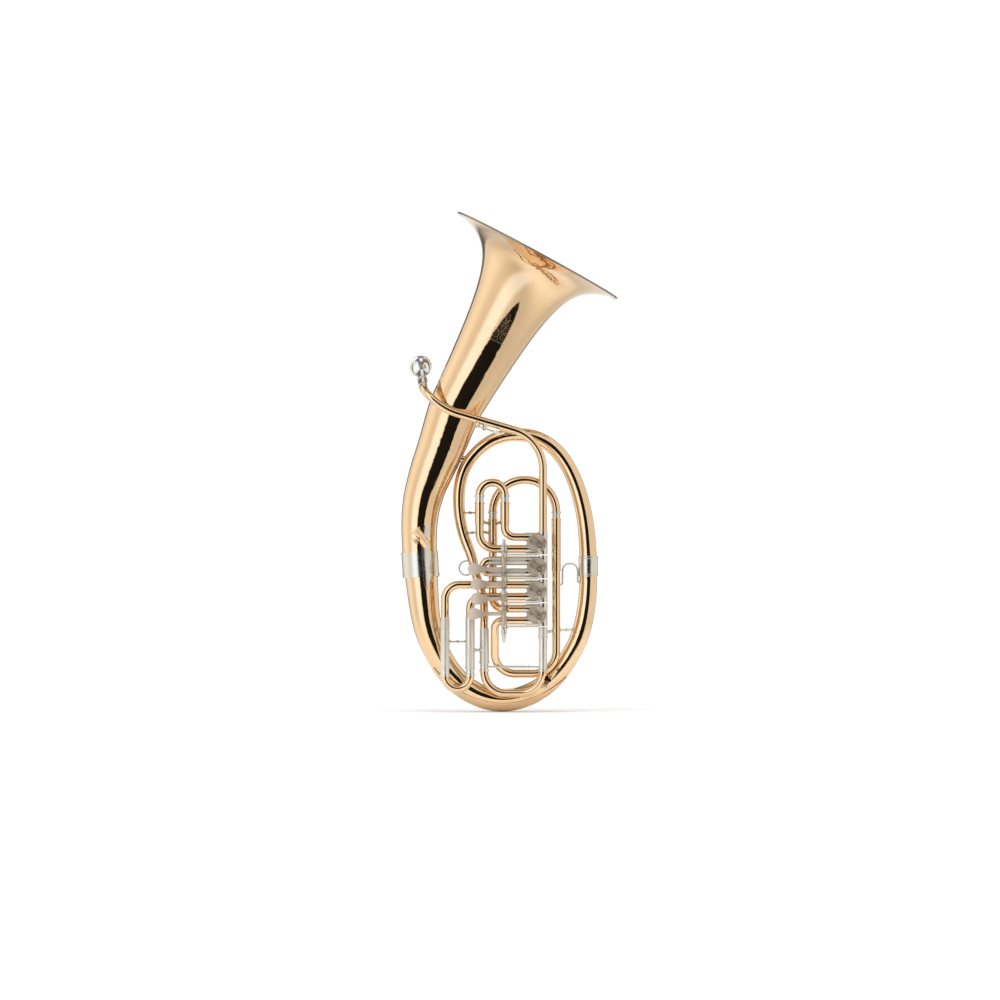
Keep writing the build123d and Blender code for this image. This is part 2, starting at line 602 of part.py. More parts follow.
def build_axle_bracket(low, high, foot_z):
    """Boss around the axle, with a post to a saddle on the tube at height foot_z."""
    middle = (low + high) / 2
    saddle_y = VALVE_PLANE - TUBE_OD / 2 - 0.7
    bracket = bar((AXLE_X, AXLE_Y, low), (AXLE_X, AXLE_Y, high), 5.0)
    bracket += bar((AXLE_X, AXLE_Y, middle), (AXLE_X, saddle_y, middle), 1.8)
    if abs(foot_z - middle) > 1.0:
        bracket += bar((AXLE_X, saddle_y, middle), (AXLE_X, saddle_y, foot_z), 1.8)
    ends = ((AXLE_X - 6, VALVE_PLANE, foot_z), (AXLE_X + 6, VALVE_PLANE, foot_z))
    front_half = Pos(AXLE_X, VALVE_PLANE - 10, foot_z) * Box(20, 14, 30)
    bracket += bar(*ends, TUBE_OD / 2 + 0.9) & front_half
    bracket -= bar((AXLE_X - 9, VALVE_PLANE, foot_z), (AXLE_X + 9, VALVE_PLANE, foot_z), TUBE_OD / 2)
    return bracket - bar((AXLE_X, AXLE_Y, low - 9), (AXLE_X, AXLE_Y, high + 9), AXLE_RADIUS)


def build_levers():
    for number in range(1, 5):
        index = number - 1
        build_lever(number, PADDLE_Z[index], PADDLE_TIP[index], VALVE_Z[index] - LINK_DROP)
    build_axle()
    brackets = [
        build_axle_bracket(265.4, 271.8, VALVE_Z[0] - PORT_OFFSET),
        build_axle_bracket(194.0, 200.0, VALVE_Z[2] - PORT_OFFSET),
        build_axle_bracket(129.8, AXLE_BOTTOM + 1, VALVE_Z[3] - PORT_OFFSET),
    ]
    save("axle_brackets", *brackets)
    springs = []
    for low, high in SPRING_SPANS:
        springs.append(pipe((AXLE_X, AXLE_Y, low), (AXLE_X, AXLE_Y, high), SPRING_OD, SPRING_ID))
    save("lever_springs", *springs)


# Valve tubing and slides -------------------------------------------------------------------
def stub_end(z):
    return (VALVE_X - STUB_REACH, VALVE_PLANE, z)


def build_slide_1():
    left, right = SLIDE_1_X
    upper = VALVE_Z[0] + PORT_OFFSET
    lower = VALVE_Z[0] - PORT_OFFSET
    y = VALVE_PLANE
    start = SLIDE_1_SLEEVE[0]
    short = FilletPolyline(stub_end(upper), (right, y, upper), (right, y, start), radius=16)
    long = FilletPolyline(stub_end(lower), (left, y, lower), (left, y, start), radius=25)
    save("slide_1_tubing", tube(short), tube(long))
    middle = (left + right) / 2
    radius = (right - left) / 2
    rise = ThreePointArc(
        (left, y, SLIDE_1_CROOK), (middle, y, SLIDE_1_CROOK + radius), (right, y, SLIDE_1_CROOK)
    )
    save("slide_1_crook", tube(rise))
    legs = [leg((x, y, SLIDE_1_CROOK), (x, y, start + COLLAR_LENGTH + 3)) for x in SLIDE_1_X]
    save("slide_1_legs", *legs)
    return [sleeve((x, y, start), (x, y, SLIDE_1_SLEEVE[1])) for x in SLIDE_1_X]


def build_slide_2():
    y = VALVE_PLANE
    upper = VALVE_Z[1] + PORT_OFFSET
    lower = VALVE_Z[1] - PORT_OFFSET
    start, end = SLIDE_2_SLEEVE
    crook = ThreePointArc(
        (SLIDE_2_CROOK, y, upper),
        (SLIDE_2_CROOK - PORT_OFFSET, y, VALVE_Z[1]),
        (SLIDE_2_CROOK, y, lower),
    )
    save("slide_2_crook", tube(crook))
    inside = start - COLLAR_LENGTH - 3
    legs = [leg((SLIDE_2_CROOK, y, z), (inside, y, z)) for z in (upper, lower)]
    save("slide_2_legs", *legs)
    ring = Pos(*RING_CENTRE) * Rot(90, 0, 0) * Torus(RING_RADIUS, RING_WIRE)
    stem_end = (SLIDE_2_CROOK - PORT_OFFSET, y, VALVE_Z[1])
    ring += bar((RING_CENTRE[0] + RING_RADIUS, y, RING_CENTRE[2]), stem_end, 2.0)
    save("pull_ring", ring - rod(crook, TUBE_OD / 2))
    return [sleeve((start, y, z), (end, y, z)) for z in (upper, lower)]


def build_slide_3():
    left, right = SLIDE_3_X
    y = VALVE_PLANE
    upper = VALVE_Z[2] + PORT_OFFSET
    lower = VALVE_Z[2] - PORT_OFFSET
    start, end = SLIDE_3_SLEEVE
    outer = FilletPolyline(stub_end(upper), (left, y, upper), (left, y, start), radius=24)
    inner = FilletPolyline(stub_end(lower), (right, y, lower), (right, y, start), radius=20)
    save("slide_3_tubing", tube(outer), tube(inner))
    radius = (right - left) / 2
    crook = ThreePointArc(
        (left, y, SLIDE_3_CROOK),
        ((left + right) / 2, y, SLIDE_3_CROOK - radius),
        (right, y, SLIDE_3_CROOK),
    )
    save("slide_3_crook", tube(crook))
    inside = start - COLLAR_LENGTH - 3
    legs = [leg((x, y, SLIDE_3_CROOK), (x, y, inside)) for x in SLIDE_3_X]
    save("slide_3_legs", *legs)
    return [sleeve((x, y, start), (x, y, end)) for x in SLIDE_3_X]


def build_slide_4():
    left, right = SLIDE_4_X
    y = LOOP_PLANE
    upper = VALVE_Z[3] + PORT_OFFSET
    lower = VALVE_Z[3] - PORT_OFFSET
    sleeve_left = 268.0
    sleeve_right = 232.0
    rising = FilletPolyline(
        stub_end(upper), (6, VALVE_PLANE, upper), (left, y, upper), (left, y, sleeve_left), radius=19
    )
    falling = FilletPolyline(
        stub_end(lower),
        (-12.5, VALVE_PLANE, lower),
        (-12.5, y, LOOP_BOTTOM),
        (right, y, LOOP_BOTTOM),
        (right, y, sleeve_right),
        radius=[14, 33, 37],
    )
    save("slide_4_tubing", tube(rising), tube(falling))
    radius = (right - left) / 2
    crook = ThreePointArc(
        (left, y, SLIDE_4_CROOK),
        ((left + right) / 2, y, SLIDE_4_CROOK + radius),
        (right, y, SLIDE_4_CROOK),
    )
    save("slide_4_crook", tube(crook))
    starts = (sleeve_left, sleeve_right)
    legs = []
    sleeves = []
    for x, start in zip(SLIDE_4_X, starts):
        legs.append(leg((x, y, SLIDE_4_CROOK), (x, y, sleeve_left + 12)))
        sleeves.append(sleeve((x, y, start), (x, y, SLIDE_4_SLEEVE)))
    save("slide_4_legs", *legs)
    return sleeves


def build_main_slide():
    left = (MAIN_X[0], MAIN_Y[0])
    right = (MAIN_X[1], MAIN_Y[1])
    path = FilletPolyline(
        (*left, MAIN_CROOK), (*left, MAIN_BOTTOM), (*right, MAIN_BOTTOM), (*right, MAIN_CROOK),
        radius=MAIN_CORNER,
    )
    crook = tube(path)
    corner_angle = radians(KEY_CORNER_ANGLE)
    across = Vector(MAIN_X[1] - MAIN_X[0], MAIN_Y[1] - MAIN_Y[0], 0).normalized()
    corner_centre = Vector(*right, MAIN_BOTTOM + MAIN_CORNER) - across * MAIN_CORNER
    outward = across * cos(corner_angle) - Vector(0, 0, sin(corner_angle))
    along = across * sin(corner_angle) + Vector(0, 0, cos(corner_angle))
    seat = Plane(origin=corner_centre + outward * MAIN_CORNER, x_dir=along, z_dir=outward)
    saddle, key = water_key(seat, TUBE_OD / 2)
    crook -= seat.location * bar((0, 0, 0), (0, 0, 12), NIPPLE_BORE)
    pin = key_pin(seat, TUBE_OD / 2)
    save("main_slide_crook", crook, saddle - rod(path, TUBE_OD / 2), pin)
    save("slide_water_key", key)

    tops = (MAIN_SLEEVE_END[0] + 36, MAIN_SLEEVE_TOP[1] - COLLAR_LENGTH - 1)
    legs = [
        leg((*left, MAIN_CROOK), (*left, tops[0])),
        leg((*right, MAIN_CROOK), (*right, tops[1])),
    ]
    brace_z = MAIN_CROOK + 7.5
    near = Vector(left[0], left[1] - 4.5, brace_z)
    far = Vector(*right, brace_z)
    brace = bar(near, far, 1.6)
    for share, radius in ((0.24, 2.6), (0.76, 2.6)):
        centre = near + (far - near) * share
        brace += bar(centre - (far - near) * 0.012, centre + (far - near) * 0.012, radius)
    brace += bar(near + (far - near) * 0.30, near + (far - near) * 0.70, 2.1)
    for x, y in (left, right):
        brace -= bar((x, y, brace_z - 5), (x, y, brace_z + 5), TUBE_OD / 2)
    save("main_slide_legs", *legs, brace)
    return [
        sleeve((*left, MAIN_SLEEVE_TOP[0]), (*left, MAIN_SLEEVE_END[0])),
        sleeve((*right, MAIN_SLEEVE_TOP[1]), (*right, MAIN_SLEEVE_END[1])),
    ]


# Water keys --------------------------------------------------------------------------------
def water_key(place, surface):
    """Saddle with its nipple, and the key itself, on a tube along the plane's x direction."""
    pivot_z = surface + KEY_PIVOT_RISE
    pivot = ((KEY_PIVOT_X, -6, pivot_z), (KEY_PIVOT_X, 6, pivot_z))
    saddle = bar((0, 0, surface - 1.2), (0, 0, surface + 3.0), 3.0)
    saddle += Pos(KEY_PIVOT_X, 0, surface - 0.8) * Box(8, 9.4, 4.4)
    saddle += Pos(KEY_PIVOT_X / 2, 0, surface - 0.4) * Box(KEY_PIVOT_X, 2.4, 3.0)
    for side in (-1, 1):
        saddle += Pos(KEY_PIVOT_X, side * 3.9, surface + 3.4) * Box(5.0, 1.6, 8.0)
    saddle -= bar(*pivot, KEY_PIN_RADIUS)
    saddle -= bar((0, 0, 0), (0, 0, surface + 5), NIPPLE_BORE)

    key = bar((0, 0, surface + 3.3), (0, 0, surface + 6.4), 4.2)
    key += bar((KEY_PIVOT_X, -2.8, pivot_z), (KEY_PIVOT_X, 2.8, pivot_z), 2.2)
    key += Pos(KEY_PIVOT_X / 2, 0, surface + 5.4) * Box(KEY_PIVOT_X, 2.8, 1.8)
    lift = FilletPolyline(
        (KEY_PIVOT_X, 0, pivot_z),
        (KEY_PIVOT_X + 10, 0, pivot_z + 1.4),
        (KEY_PIVOT_X + 20, 0, pivot_z + 1.2),
        radius=12,
    )
    key += rod(lift, 1.3)
    key += Pos(KEY_PIVOT_X + 20, 0, pivot_z + 1.4) * extrude(Ellipse(6.6, 4.4), amount=0.9, both=True)
    key -= bar(*pivot, KEY_PIN_RADIUS + SLIDE_FIT)
    return place.location * saddle, place.location * key


def key_pin(place, surface):
    pivot_z = surface + KEY_PIVOT_RISE
    pin = bar((KEY_PIVOT_X, -5.2, pivot_z), (KEY_PIVOT_X, 5.2, pivot_z), KEY_PIN_RADIUS)
    return place.location * pin


# Braces and fittings -----------------------------------------------------------------------
def build_braces(main_tube):
    """Stays between tubes, given by points on both centre lines and cut back to their surfaces."""
    y = VALVE_PLANE
    stays = [
        ((-70.6, 0, 328), (SLIDE_1_X[0], y, 328), 9.4, 7.5),
        ((SLIDE_1_X[0], y, 314), (SLIDE_4_X[0], LOOP_PLANE, 309), 7.5, 7.5),
        ((SLIDE_4_X[0], LOOP_PLANE, 309), (SLIDE_1_X[1], y, 314), 7.5, 7.5),
        ((-64.2, -1, 294), (SLIDE_1_X[0], y, 296), 9.0, 6.7),
        ((SLIDE_1_X[0], y, 297), (SLIDE_4_X[0], LOOP_PLANE, 294), 6.7, 7.5),
        ((SLIDE_3_X[0], y, 116), (SLIDE_3_X[1], y, 116), 7.5, 7.5),
        ((SLIDE_3_X[1], y, 102), (MAIN_X[0], MAIN_Y[0], 102), 7.5, 7.5),
        ((MAIN_X[1], MAIN_Y[1], 131), (SLIDE_4_X[1], LOOP_PLANE, 134), 7.5, 6.7),
        ((SLIDE_4_X[1], LOOP_PLANE, 134), (130.5, 0, 136), 6.7, 15.1),
        ((SLIDE_3_X[0], y, 136), (-121, 0, 136), 7.5, 22.6),
        ((8, -43.4, 467.2), (6, 0, 455.5), 6.5, 10.9),
    ]
    fills = list(main_tube)
    legs = [(x, y, 90.0, 395.0) for x in SLIDE_1_X]
    legs += [(x, y, 70.0, 160.0) for x in SLIDE_3_X]
    legs += [(x, my, 70.0, 140.0) for x, my in zip(MAIN_X, MAIN_Y)]
    pieces = []
    for first, last, near, far in stays:
        first = Vector(*first)
        last = Vector(*last)
        along = (last - first).normalized()
        stay = bar(first, last, STAY_RADIUS)
        stay += bar(first + along * near * 0.7, first + along * (near + 1.2), STAY_FOOT)
        stay += bar(last - along * far * 0.7, last - along * (far + 1.2), STAY_FOOT)
        middle = (first + along * near + last - along * far) / 2
        stay += bar(middle - along * 2.0, middle + along * 2.0, STAY_BEAD)
        for fill in fills:
            stay -= fill
        for point, radius in ((first, near), (last, far)):
            if radius < 8:
                stay -= bar(point - Vector(0, 0, 20), point + Vector(0, 0, 20), radius)
        pieces.append(stay)
    pieces[-1] -= rod(leadpipe_path(), LEADPIPE_OD / 2)
    return pieces


def build_saddles(main_tube, path):
    """Soldered pads where the main tube touches itself and where the leadpipe lies on the bell."""
    stack, bow, branch = main_tube
    pad = bar((-108, 0, 421), (-52, 0, 415), 5.5) - stack - branch
    rest = bar((-79, -52, 492.8), (-79, -20, 492.8), 5.0) - stack - rod(path, LEADPIPE_OD / 2)
    rest = max(rest.solids(), key=lambda solid: solid.center().Y)
    return [pad, rest]


def build_hand_hook(bow, branch):
    """Wire arch for the hand between the fourth slide's leg and the outer tube."""
    left = (SLIDE_4_X[1], LOOP_PLANE, 207.6)
    right = (141.2, 0, 211.2)
    corners = [left, (99, -15.0, 210), (99, -13.0, 244), (124, -6.0, 244), (124, -4.0, 213), right]
    wire = rod(FilletPolyline(*corners, radius=[3, 12, 12, 3]), HOOK_WIRE)
    wire -= bar((left[0], left[1], 150), (left[0], left[1], 300), TUBE_OD / 2)
    save("hand_hook", wire - bow - branch)


def build_lyre_holder(stack, plate):
    """Square box with a round socket for the music lyre, and its thumbscrew."""
    place = Plane(origin=LYRE_CENTRE, x_dir=LYRE_ACROSS, z_dir=LYRE_MOUTH)
    half = LYRE_LENGTH / 2
    box = Box(LYRE_WIDTH, LYRE_WIDTH, LYRE_LENGTH)
    box = fillet(box.edges().filter_by(Axis.Z), 1.2)
    box += Pos(0, 0, half - 1.6) * Box(LYRE_WIDTH + 2.4, LYRE_WIDTH + 2.4, 3.2)
    box = Rot(0, 0, 45) * box
    box += bar((-LYRE_CORNER - 1.5, 0, 2), (-LYRE_BORE, 0, 2), 3.6)
    foot = Pos(0, LYRE_WIDTH / 2 + 4, 0) * Box(LYRE_WIDTH - 2, 10, LYRE_LENGTH - 8)
    screw_hole = bar((-LYRE_CORNER - 3, 0, 2), (0, 0, 2), LYRE_SCREW + SLIDE_FIT)
    holder = box + foot - screw_hole - Cylinder(LYRE_BORE, LYRE_LENGTH + 2)
    holder = place.location * holder - stack - plate
    save("lyre_holder", max(holder.solids(), key=lambda solid: solid.volume))

    tip = -LYRE_BORE - 0.1
    shoulder = -LYRE_CORNER - 3.5
    shank = bar((tip, 0, 2), (shoulder, 0, 2), LYRE_SCREW)
    head = bar((shoulder, 0, 2), (shoulder - 4, 0, 2), 5.0)
    head = fillet(head.edges().filter_by(GeomType.CIRCLE), 0.8)
    for turn in range(12):
        notch = Pos(0, 0, 2) * Rot(turn * 30, 0, 0) * Pos(shoulder - 2, 0, 5.3) * Rot(0, 90, 0)
        head -= notch * Cylinder(0.7, 6)
    save("lyre_screw", place.location * (shank + head))


def build_side_plate(stack, bow):
    """Narrow nickel guard strip down the front of the bell stack and over the ferrule."""
    x, z_low, z_high = SIDE_PLATE_X, SIDE_PLATE_Z[0], SIDE_PLATE_Z[1]
    half = SIDE_PLATE_WIDTH / 2
    outline = Wire([
        ThreePointArc((x - half - 2, z_high - 8), (x - 2, z_high), (x + half - 2, z_high - 8)),
        Line((x + half - 2, z_high - 8), (x + half, z_low + 30)),
        Spline((x + half, z_low + 30), (x + half - 2.0, z_low + 18), (x + 1, z_low)),
        Spline((x + 1, z_low), (x - half + 2.0, z_low + 18), (x - half, z_low + 30)),
        Line((x - half, z_low + 30), (x - half - 2, z_high - 8)),
    ])
    block = extrude(make_face(Plane.XZ * outline), amount=60, dir=(0, -1, 0))
    ends = STACK[-3:] + BOW[1:3]
    tangents = (Vector(-0.12, 0, -1), Vector(0.18, 0, -1))
    outer = horn(ends, tangents, grow=SIDE_PLATE_GAP + 1.2, sections=10)
    inner = horn(ends, tangents, grow=SIDE_PLATE_GAP, sections=10)
    strip = (outer - inner) & block
    foot_zone = Pos(x, -30, z_high - 12) * Box(SIDE_PLATE_WIDTH - 3, 60, 5)
    foot_zone += Pos(x + 1, -30, z_low + 18) * Box(5, 60, 5)
    feet = (inner & foot_zone & block) - stack - bow
    plate = strip + feet
    save("side_plate", plate)
    return plate


def main():
    os.makedirs("parts", exist_ok=True)
    main_tube = build_main_tube()
    stack, bow, branch = main_tube
    build_leadpipe()
    build_mouthpiece()
    for index, z in enumerate(VALVE_Z):
        build_casing(index + 1, z)
        build_rotor(index + 1, z)
        build_stop_arm(index + 1, z)
        build_link(index + 1, z)
    save("bearing_plates", *[build_bearing_plate(z) for z in VALVE_Z])
    save("valve_back_caps", *[build_back_cap(z) for z in VALVE_Z])
    save("stop_corks", *[cork for z in VALVE_Z for cork in build_corks(z)])
    build_levers()
    sleeves = build_slide_1() + build_slide_2() + build_slide_3() + build_slide_4()
    sleeves += build_main_slide()
    save("outer_sleeves", *sleeves)
    save("braces", *build_braces(main_tube), *build_saddles(main_tube, leadpipe_path()))
    build_hand_hook(bow, branch)
    build_lyre_holder(stack, build_side_plate(stack, bow))


main()
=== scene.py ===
"""Looks of the oval baritone tuba: polished, lacquered metal in a white studio."""
import math

import bpy
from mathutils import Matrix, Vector


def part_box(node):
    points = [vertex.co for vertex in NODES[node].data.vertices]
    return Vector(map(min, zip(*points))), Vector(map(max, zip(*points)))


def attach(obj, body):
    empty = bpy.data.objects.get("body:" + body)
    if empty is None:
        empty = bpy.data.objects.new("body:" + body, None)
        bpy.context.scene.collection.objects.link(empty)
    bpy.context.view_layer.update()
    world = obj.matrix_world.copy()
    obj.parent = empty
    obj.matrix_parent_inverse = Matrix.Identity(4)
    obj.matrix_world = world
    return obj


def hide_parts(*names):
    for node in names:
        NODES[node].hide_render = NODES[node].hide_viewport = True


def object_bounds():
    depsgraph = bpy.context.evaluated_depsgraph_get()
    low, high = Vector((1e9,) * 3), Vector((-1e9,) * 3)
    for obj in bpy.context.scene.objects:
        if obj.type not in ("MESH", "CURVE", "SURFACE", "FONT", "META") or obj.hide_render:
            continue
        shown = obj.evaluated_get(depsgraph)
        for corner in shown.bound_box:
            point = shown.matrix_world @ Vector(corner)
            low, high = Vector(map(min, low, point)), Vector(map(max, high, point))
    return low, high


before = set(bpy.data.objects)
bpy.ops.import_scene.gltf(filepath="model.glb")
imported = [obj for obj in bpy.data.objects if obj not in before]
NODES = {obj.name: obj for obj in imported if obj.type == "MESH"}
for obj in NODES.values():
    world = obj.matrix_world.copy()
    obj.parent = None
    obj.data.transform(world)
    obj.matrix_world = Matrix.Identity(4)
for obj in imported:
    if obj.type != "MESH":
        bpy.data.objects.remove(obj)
CAD_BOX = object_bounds()
MM = 0.001

# Place of the fittings that replace or join CAD nodes, in millimetres.
AXLE = (2.4, -51.5)
SPRING_SPANS = [(224.9, 230.9), (200.6, 206.2), (172.0, 176.0), (167.2, 171.2)]
SPRING_MEAN_RADIUS = 3.42
SPRING_WIRE = 0.55
SPRING_PITCH = 1.45
SPRING_STEPS = 28                           # points in a turn
PLATE_FRONT = -54.9
ORNAMENT_CENTRE = (2.0, 632.0)
ORNAMENT_SCALE = 1.2
ORNAMENT_TILT = math.radians(-28)
ORNAMENT_RAY_START = -0.3                   # metres, in front of the whole horn
STROKE_RADIUS = 0.22
STROKE_LIFT = 0.05
PLATE_RINGS = ((0.93, 0.7), (0.82, 0.4))    # share of the plate's radius, and wire radius

# Beads round the ferrules, in metres: distances from each end, and wire radius.
BELL_FERRULE_AXIS = Vector((0.0889, 0, -0.996)).normalized()
BELL_BEAD_OFFSETS = (0.0012, 0.0048)
BELL_BEAD_WIRE = 0.0009
BRANCH_BEAD_OFFSETS = (0.0010, 0.0042)
BRANCH_BEAD_WIRE = 0.0007
END_TOLERANCE = 1e-5
RING_STEPS = 96
RING_SIDES = 8
BACKWARDS = Vector((0, 1, 0))


# Node helpers ------------------------------------------------------------------------------
class Tree:
    """Small helper that adds and joins shader nodes."""

    def __init__(self, tree):
        self.tree = tree
        tree.nodes.clear()

    def add(self, kind, inputs=(), **settings):
        node = self.tree.nodes.new("ShaderNode" + kind)
        for key, value in settings.items():
            setattr(node, key, value)
        for socket, value in dict(inputs).items():
            self.put(node.inputs[socket], value)
        return node

    def put(self, socket, value):
        if isinstance(value, bpy.types.NodeSocket):
            self.tree.links.new(value, socket)
        else:
            socket.default_value = value

    def maths(self, operation, first, second=0.0):
        node = self.tree.nodes.new("ShaderNodeMath")
        node.operation = operation
        self.put(node.inputs[0], first)
        self.put(node.inputs[1], second)
        return node.outputs[0]

    def band(self, value, low, high, start=0.0, end=1.0, smooth=True):
        """Map Range of value from low..high to start..end."""
        node = self.tree.nodes.new("ShaderNodeMapRange")
        node.interpolation_type = "SMOOTHSTEP" if smooth else "LINEAR"
        self.put(node.inputs["Value"], value)
        limits = {"From Min": low, "From Max": high, "To Min": start, "To Max": end}
        for socket, number in limits.items():
            node.inputs[socket].default_value = number
        return node.outputs[0]

    def mix(self, factor, first, second):
        node = self.tree.nodes.new("ShaderNodeMix")
        node.data_type = "RGBA"
        self.put(node.inputs["Factor"], factor)
        self.put(node.inputs[6], first)
        self.put(node.inputs[7], second)
        return node.outputs[2]

    def noise(self, vector, scale, detail=2.0, stretch=(1, 1, 1), distortion=0.0):
        mapping = self.add("Mapping", {"Vector": vector, "Scale": stretch})
        node = self.add("TexNoise", {
            "Vector": mapping.outputs[0], "Scale": scale,
            "Detail": detail, "Distortion": distortion,
        })
        return node.outputs["Fac"]


def rgb(red, green, blue):
    return (red, green, blue, 1.0)


def new_material(name):
    material = bpy.data.materials.new(name)
    material.use_nodes = True
    return material, Tree(material.node_tree)


def finish_tree(tree, kind, shader):
    """Links the last shader to the output node."""
    output = tree.add(kind)
    tree.tree.links.new(shader.outputs[0], output.inputs[0])


GOLD = rgb(0.86, 0.615, 0.37)
GOLD_DEEP = rgb(0.80, 0.53, 0.26)
NICKEL = rgb(0.74, 0.68, 0.58)
NICKEL_DEEP = rgb(0.66, 0.58, 0.47)
GOLD_ROUGHNESS = 0.035
DRIFT_SCALE = 9.0
DRIFT_BAND = (0.35, 0.65, 0.0, 0.35)        # from the plain colour towards the deeper one
HAZE_SCALE = 38.0
HAZE_BUMP = 0.05                            # haze's share of the surface's waves
SCRATCH_SCALE = 900.0
SCRATCH_ROUGHNESS = 0.10
# Reach of the painted shade in corners and crevices, in metres.
CORNER_SHADE_REACH = 0.004
COAT_ROUGHNESS = 0.04
# Metres: sleeves are lacquered above the first height, and behind the second number's depth
# above the third number's height.
LACQUERED_SLEEVES = (0.262, -0.027, 0.2)


def metal(
    name, colour, deep, rough, spread,
    coat=0.0, lines=0.0, crevice_shade=0.5, waves=0.02, gold_above=None,
):
    """Polished metal: slow colour drift, wiping haze, fine scratches and painted shade in the
    corners.
    """
    material, tree = new_material(name)
    place = tree.add("TexCoord").outputs["Object"]

    drift = tree.noise(place, DRIFT_SCALE, 3.0)
    haze = tree.noise(place, HAZE_SCALE, 4.0, distortion=0.6)
    scratch = tree.noise(place, SCRATCH_SCALE, 2.0, stretch=(1.0, 1.0, 0.06))
    tint = tree.mix(tree.band(drift, *DRIFT_BAND), colour, deep)
    if gold_above:
        height, back, back_height = gold_above
        split = tree.add("SeparateXYZ", {0: place})
        high = tree.maths("GREATER_THAN", split.outputs["Z"], height)
        behind = tree.maths("GREATER_THAN", split.outputs["Y"], back)
        raised = tree.maths("GREATER_THAN", split.outputs["Z"], back_height)
        behind = tree.maths("MULTIPLY", behind, raised)
        gold = tree.mix(tree.band(drift, *DRIFT_BAND), GOLD, GOLD_DEEP)
        golden = tree.maths("MAXIMUM", high, behind)
        tint = tree.mix(golden, tint, gold)
    # Painted shade: the colour is darkened and deepened in corners and crevices that ambient
    # occlusion finds.
    corner = tree.add("AmbientOcclusion", {"Distance": CORNER_SHADE_REACH}, samples=6)
    shade = tree.band(corner.outputs["AO"], 0.15, 0.85, crevice_shade, 0.0)
    dark = tree.add("HueSaturation", {"Color": tint, "Saturation": 1.25, "Value": 0.5})
    tint = tree.mix(shade, tint, dark.outputs[0])

    roughness = tree.band(haze, 0.38, 0.72, rough, rough + spread)
    swell = tree.maths("MULTIPLY", drift, waves)
    ripple = tree.maths("MULTIPLY", haze, waves * HAZE_BUMP)
    bump_height = tree.maths("ADD", swell, ripple)
    if lines:
        turned = tree.maths("MULTIPLY", scratch, lines)
        bump_height = tree.maths("ADD", bump_height, turned)
        scuffed = tree.maths("MULTIPLY", scratch, SCRATCH_ROUGHNESS)
        roughness = tree.maths("ADD", roughness, scuffed)
    if gold_above:
        smoother = tree.maths("MULTIPLY", golden, rough - GOLD_ROUGHNESS)
        roughness = tree.maths("SUBTRACT", roughness, smoother)
    bump = tree.add("Bump", {"Height": bump_height, "Strength": 0.35, "Distance": 0.001})
    shader = tree.add("BsdfPrincipled", {
        "Base Color": tint, "Metallic": 1.0, "Roughness": roughness, "Normal": bump.outputs[0],
        "Coat Weight": coat, "Coat Roughness": COAT_ROUGHNESS,
    })
    finish_tree(tree, "OutputMaterial", shader)
    return material


def cork(name):
    material, tree = new_material(name)
    place = tree.add("TexCoord").outputs["Object"]
    grain = tree.noise(place, 1500.0, 5.0)
    cells = tree.add("TexVoronoi", {"Vector": place, "Scale": 1100.0}).outputs["Distance"]
    colour = tree.mix(tree.band(grain, 0.35, 0.65), rgb(0.18, 0.10, 0.05), rgb(0.42, 0.27, 0.15))
    bump = tree.add("Bump", {"Height": cells, "Strength": 0.6, "Distance": 0.0003})
    shader = tree.add("BsdfPrincipled", {
        "Base Color": colour, "Roughness": 0.85, "Normal": bump.outputs[0],
    })
    finish_tree(tree, "OutputMaterial", shader)
    return material


# Each metal has a colour, a deeper colour it drifts to, a roughness and the haze's addition to it.
METALS = {
    "gold_lacquer": dict(
        colour=GOLD, deep=GOLD_DEEP, rough=GOLD_ROUGHNESS, spread=0.04, coat=0.25, waves=0.008,
    ),
    "nickel_polish": dict(
        colour=NICKEL, deep=NICKEL_DEEP, rough=0.10, spread=0.08, lines=0.02, crevice_shade=0.8,
    ),
    "nickel_satin": dict(
        colour=NICKEL, deep=NICKEL_DEEP, rough=0.26, spread=0.10, lines=0.05, crevice_shade=0.8,
    ),
    "nickel_sleeve": dict(
        colour=rgb(0.80, 0.75, 0.65), deep=NICKEL_DEEP, rough=0.36, spread=0.08, lines=0.02,
        crevice_shade=0.8, gold_above=LACQUERED_SLEEVES,
    ),
    "nickel_bright": dict(
        colour=rgb(0.82, 0.77, 0.67), deep=NICKEL_DEEP, rough=0.28, spread=0.08, crevice_shade=0.8,
    ),
    # Painted reflection: the rim bead is coloured dark brown to stand in for the dark surroundings
    # that its top reflects.
    "rim_bead": dict(
        colour=rgb(0.34, 0.27, 0.19), deep=rgb(0.24, 0.18, 0.12), rough=0.12, spread=0.08,
    ),
    "lever_nickel": dict(
        colour=rgb(0.66, 0.55, 0.43), deep=rgb(0.58, 0.48, 0.36), rough=0.46, spread=0.08,
        lines=0.05,
    ),
    "plate_nickel": dict(
        colour=rgb(0.78, 0.66, 0.51), deep=rgb(0.64, 0.52, 0.38), rough=0.44, spread=0.12,
        lines=0.08,
    ),
    "arm_nickel": dict(
        colour=rgb(0.56, 0.47, 0.36), deep=rgb(0.46, 0.38, 0.28), rough=0.40, spread=0.10,
        lines=0.05,
    ),
    "silver_plate": dict(
        colour=rgb(0.90, 0.89, 0.86), deep=rgb(0.80, 0.77, 0.70), rough=0.04, spread=0.05,
    ),
    "bare_brass": dict(
        colour=rgb(0.74, 0.55, 0.26), deep=rgb(0.55, 0.36, 0.15), rough=0.24, spread=0.14,
        lines=0.06,
    ),
    "spring_steel": dict(
        colour=rgb(0.50, 0.50, 0.52), deep=rgb(0.34, 0.33, 0.38), rough=0.22, spread=0.10,
    ),
    "etched_brass": dict(
        colour=rgb(0.50, 0.36, 0.22), deep=rgb(0.35, 0.24, 0.14), rough=0.5, spread=0.1,
    ),
}
MATERIALS = {name: metal(name, **look) for name, look in METALS.items()}
MATERIALS["cork_rubber"] = cork("cork_rubber")
